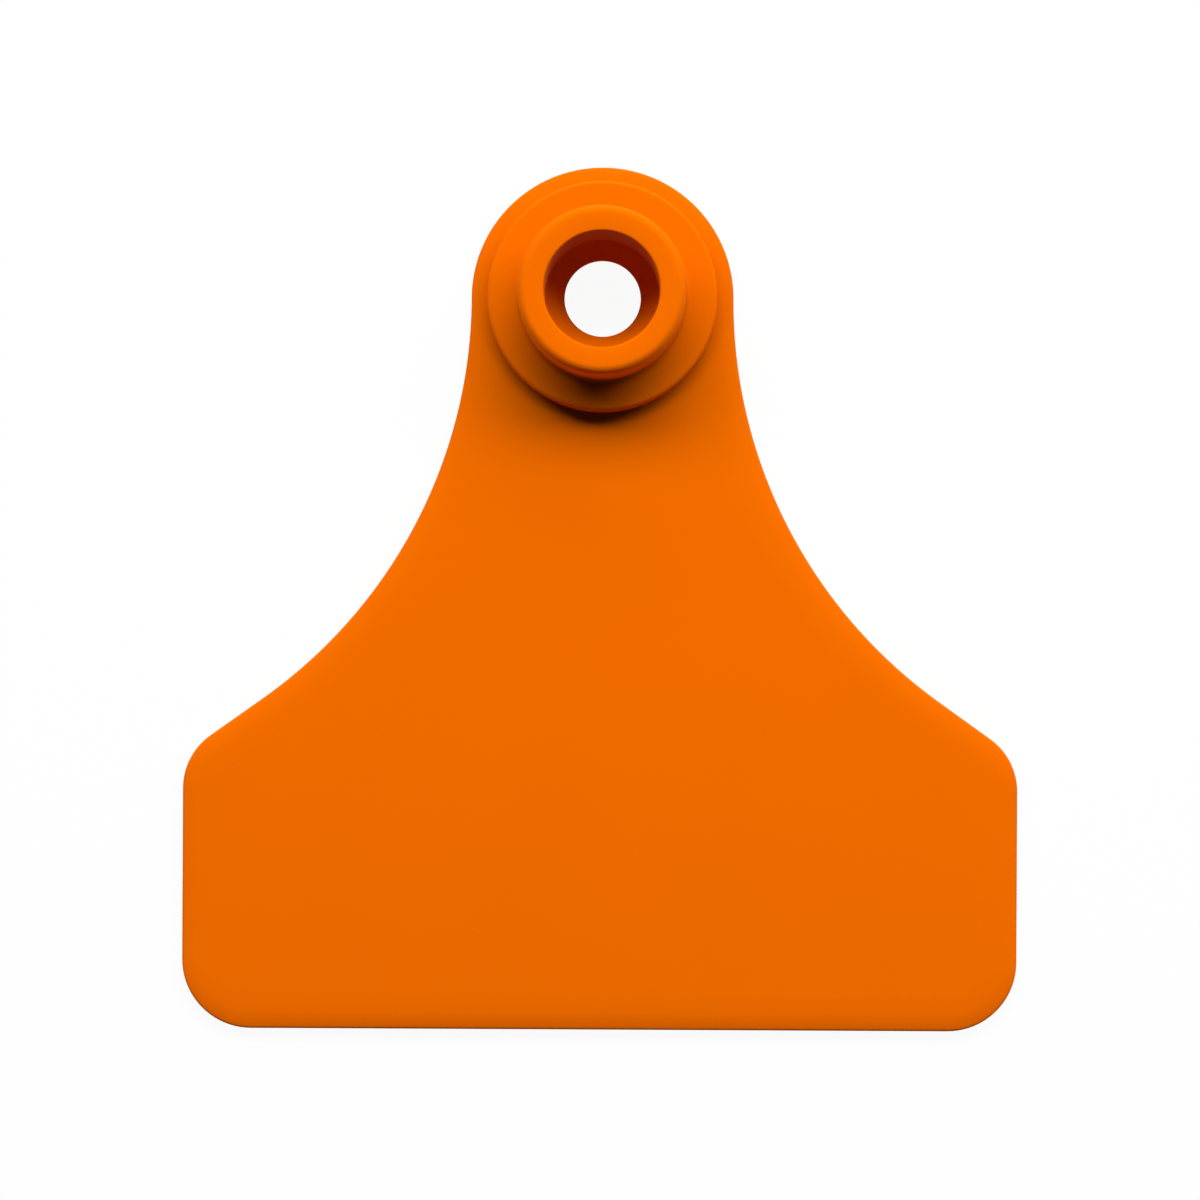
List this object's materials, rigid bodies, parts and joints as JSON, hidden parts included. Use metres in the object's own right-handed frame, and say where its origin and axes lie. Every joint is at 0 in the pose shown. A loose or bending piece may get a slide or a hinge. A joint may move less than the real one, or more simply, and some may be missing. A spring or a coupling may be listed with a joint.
{
  "type": "livestock ear tag",
  "caption": "Blank female half of a livestock ear tag: flat panel with sloping shoulders, rounded corners and a round head with a stepped, open boss for the stud.",
  "frame": {"origin": "middle of the tag's outline, on its flat back face, which it lies on", "axes": "+Z out of the front face, along the boss's axis; +Y towards the head with the boss; +X to the right as seen from the front"},
  "size_m": [0.075, 0.0776, 0.009],
  "materials": {
    "orange_polyurethane": "moulded, satin to matt"
  },
  "bodies": {
    "root": {"ear_tag": "orange_polyurethane"}
  },
  "joints": []
}
